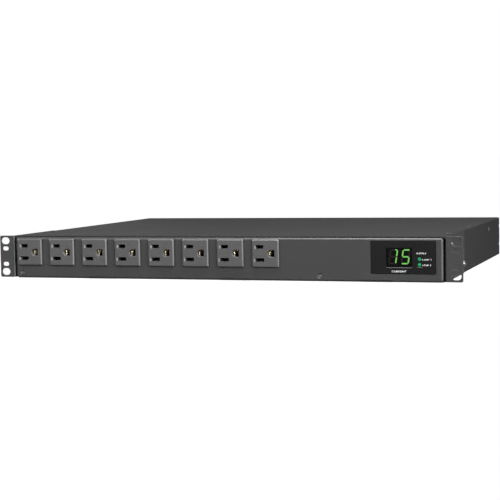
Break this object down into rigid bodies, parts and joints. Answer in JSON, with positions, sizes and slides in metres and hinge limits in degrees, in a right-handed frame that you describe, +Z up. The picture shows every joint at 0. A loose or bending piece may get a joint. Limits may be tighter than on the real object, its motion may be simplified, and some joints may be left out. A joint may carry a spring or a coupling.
{
  "type": "rack power strip",
  "caption": "1U rack-mount metered power strip with front outlets, a load meter, two rear inlets with transfer relays, a reset button and slotted rack ears.",
  "frame": {"origin": "bottom centre of the overall box, on the tray's bottom", "axes": "+X to the right seen from the front, along the longest side; +Y from the front panel towards the rear wall; +Z up, the shortest side"},
  "size_m": [0.4782, 0.363, 0.0432],
  "materials": {
    "cover_paint": "fine matt powder coat, dark grey",
    "panel_paint": "fine matt powder coat, dark grey, slightly cooler than the cover",
    "ear_paint": "fine matt powder coat, dark grey",
    "tray_paint": "dark grey coat",
    "black_screw": "black oxide, semi-gloss",
    "outlet_plastic": "moulded nylon, fine grain",
    "brass": "stamped, satin",
    "window": "smoked sheet with printed legends",
    "digit_block": "black face with green lit segments",
    "lamp": "green lamp, lit",
    "circuit_board": "green solder mask",
    "black_plastic": "moulded thermoplastic",
    "nickel": "nickel plate",
    "white_plastic": "moulded, semi-gloss",
    "steel": "bright stamped steel",
    "winding": "enamelled copper winding",
    "lamination": "varnished laminations",
    "can": "sleeved aluminium can",
    "ferrite": "coated ring",
    "wire_black": "insulation",
    "wire_white": "insulation",
    "wire_green": "insulation",
    "ribbon": "flat cable"
  },
  "bodies": {
    "chassis": {"base_tray": "tray_paint", "top_cover": "cover_paint", "front_panel": "panel_paint", "ear_left": "ear_paint", "ear_right": "ear_paint", "front_screw_left": "black_screw", "front_screw_mid": "black_screw", "side_screw_left": "black_screw", "side_screw_right": "black_screw", "hot_bus": "brass", "neutral_bus": "brass", "ground_bus": "brass", "display_window": "window", "digit_module": "digit_block", "led_primary": "lamp", "led_secondary": "lamp", "display_board": "circuit_board", "main_board": "circuit_board", "inlet_primary": "black_plastic", "inlet_secondary": "black_plastic", "breaker_body": "black_plastic", "breaker_nut": "nickel", "transformer": "lamination", "capacitor": "can", "current_sensor": "ferrite", "hot_lead": "wire_black", "neutral_lead": "wire_white", "ground_lead": "wire_green", "display_ribbon": "ribbon", "ear_screw_left_1": "black_screw", "cover_screw_left_1": "black_screw", "ear_screw_left_2": "black_screw", "cover_screw_left_2": "black_screw", "ear_screw_right_1": "black_screw", "cover_screw_right_1": "black_screw", "ear_screw_right_2": "black_screw", "cover_screw_right_2": "black_screw", "outlet_1": "outlet_plastic", "outlet_2": "outlet_plastic", "outlet_3": "outlet_plastic", "outlet_4": "outlet_plastic", "outlet_5": "outlet_plastic", "outlet_6": "outlet_plastic", "outlet_7": "outlet_plastic", "outlet_8": "outlet_plastic", "inlet_primary_line_pin": "nickel", "inlet_primary_neutral_pin": "nickel", "inlet_primary_earth_pin": "nickel", "relay_primary_frame": "black_plastic", "relay_primary_coil": "winding", "inlet_secondary_line_pin": "nickel", "inlet_secondary_neutral_pin": "nickel", "inlet_secondary_earth_pin": "nickel", "relay_secondary_frame": "black_plastic", "relay_secondary_coil": "winding"},
    "reset_button": {"breaker_button": "white_plastic"},
    "primary_armature": {"relay_primary_armature": "steel"},
    "secondary_armature": {"relay_secondary_armature": "steel"}
  },
  "joints": [
    {"name": "breaker_reset", "type": "slide", "parent": "chassis", "child": "reset_button", "axis": [0, 1, 0], "range_m": [0, 0.004]},
    {"name": "relay_primary_pull", "type": "hinge", "parent": "chassis", "child": "primary_armature", "pos_m": [0.132, 0.0959, 0.0334], "axis": [0, 1, 0], "range_deg": [0, 4], "stiffness_Nm_per_rad": 0.03, "springref_deg": -11.46},
    {"name": "relay_secondary_pull", "type": "hinge", "parent": "chassis", "child": "secondary_armature", "pos_m": [0.068, 0.0959, 0.0334], "axis": [0, 1, 0], "range_deg": [0, 4], "stiffness_Nm_per_rad": 0.03, "springref_deg": -11.46}
  ]
}
